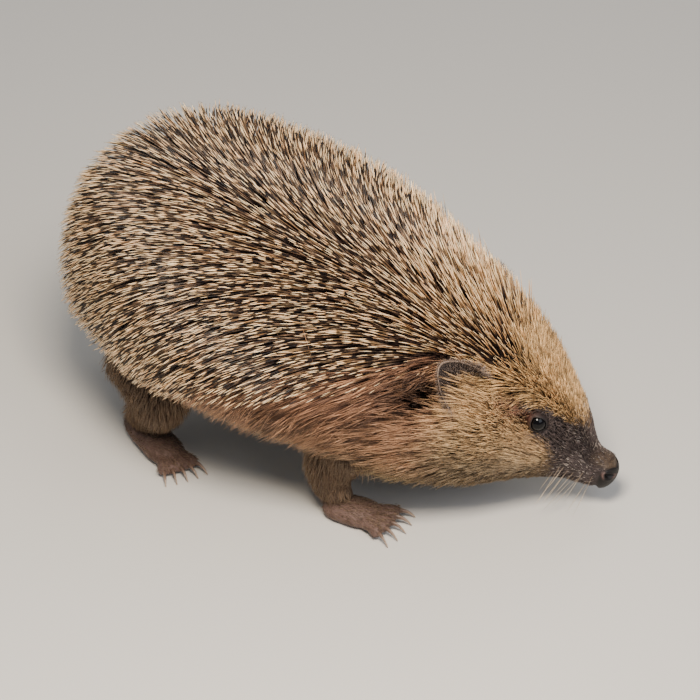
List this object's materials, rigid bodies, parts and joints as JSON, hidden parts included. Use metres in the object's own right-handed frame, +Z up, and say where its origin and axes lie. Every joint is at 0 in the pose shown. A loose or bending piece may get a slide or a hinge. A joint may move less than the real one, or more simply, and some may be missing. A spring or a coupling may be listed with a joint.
{
  "type": "hedgehog",
  "caption": "Adult hedgehog standing on its four feet with its head lowered and turned a little to its left, its nose just above the ground.",
  "frame": {"origin": "on the floor, under the centre of the animal's bounding box", "axes": "+X from rump to head, +Y to the animal's left, +Z up"},
  "size_m": [0.217, 0.1346, 0.118],
  "materials": {
    "spiny_coat": "matte",
    "face_fur": "matte",
    "bare_skin": "satin",
    "nose_skin": "gloss",
    "eye": "gloss"
  },
  "bodies": {
    "root": {"trunk": "spiny_coat", "neck": "spiny_coat", "head": "face_fur", "nose": "nose_skin", "tail": "bare_skin", "eye_left": "eye", "eye_right": "eye", "ear_left": "bare_skin", "ear_right": "bare_skin", "foreleg_left": "bare_skin", "foreleg_right": "bare_skin", "hindleg_left": "bare_skin", "hindleg_right": "bare_skin"}
  },
  "joints": []
}
